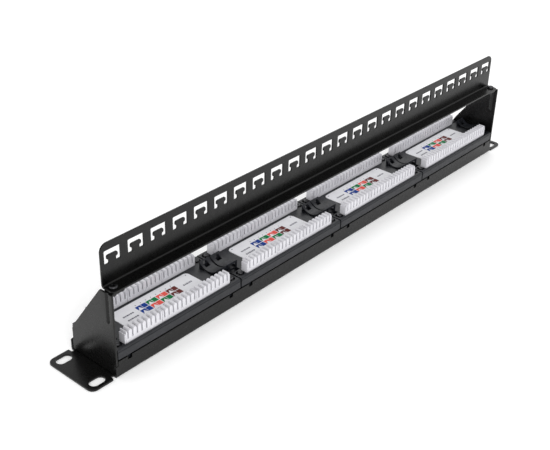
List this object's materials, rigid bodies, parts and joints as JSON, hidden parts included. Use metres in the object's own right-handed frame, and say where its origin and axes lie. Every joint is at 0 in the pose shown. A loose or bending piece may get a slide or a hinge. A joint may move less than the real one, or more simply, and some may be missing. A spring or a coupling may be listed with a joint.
{
  "type": "patch panel",
  "caption": "One-unit rack patch panel lying on its front face, with socket modules, white wire-terminal strips, end brackets and a rear bar of cable-tie anchors.",
  "frame": {"origin": "centre of the front face, on the surface that the panel lies on", "axes": "+X along the panel, +Y across its height on the side away from the bar flange, +Z out of its back"},
  "size_m": [0.4826, 0.0436, 0.0904],
  "materials": {
    "powder_coat": "fine-textured black powder coat",
    "black_plastic": "satin moulded",
    "socket_plastic": "satin moulded",
    "white_plastic": "satin moulded",
    "label_stock": "smooth printed",
    "circuit_board": "solder resist",
    "contact_gold": "gold plated",
    "screw_steel": "black zinc"
  },
  "bodies": {
    "root": {"front_panel": "powder_coat", "side_bracket_right": "powder_coat", "side_bracket_left": "powder_coat", "cable_bar": "powder_coat", "bar_screw_left": "screw_steel", "bar_screw_right": "screw_steel", "module_shell_1": "black_plastic", "circuit_board_1": "circuit_board", "terminal_strip_upper_1": "white_plastic", "terminal_strip_lower_1": "white_plastic", "wiring_label_1": "label_stock", "socket_block_1": "socket_plastic", "contact_comb_1": "contact_gold", "screw_upper_left_1": "screw_steel", "screw_upper_right_1": "screw_steel", "screw_lower_left_1": "screw_steel", "screw_lower_right_1": "screw_steel", "module_shell_2": "black_plastic", "circuit_board_2": "circuit_board", "terminal_strip_upper_2": "white_plastic", "terminal_strip_lower_2": "white_plastic", "wiring_label_2": "label_stock", "socket_block_2": "socket_plastic", "contact_comb_2": "contact_gold", "screw_upper_left_2": "screw_steel", "screw_upper_right_2": "screw_steel", "screw_lower_left_2": "screw_steel", "screw_lower_right_2": "screw_steel", "module_shell_3": "black_plastic", "circuit_board_3": "circuit_board", "terminal_strip_upper_3": "white_plastic", "terminal_strip_lower_3": "white_plastic", "wiring_label_3": "label_stock", "socket_block_3": "socket_plastic", "contact_comb_3": "contact_gold", "screw_upper_left_3": "screw_steel", "screw_upper_right_3": "screw_steel", "screw_lower_left_3": "screw_steel", "screw_lower_right_3": "screw_steel", "module_shell_4": "black_plastic", "circuit_board_4": "circuit_board", "terminal_strip_upper_4": "white_plastic", "terminal_strip_lower_4": "white_plastic", "wiring_label_4": "label_stock", "socket_block_4": "socket_plastic", "contact_comb_4": "contact_gold", "screw_upper_left_4": "screw_steel", "screw_upper_right_4": "screw_steel", "screw_lower_left_4": "screw_steel", "screw_lower_right_4": "screw_steel"}
  },
  "joints": []
}
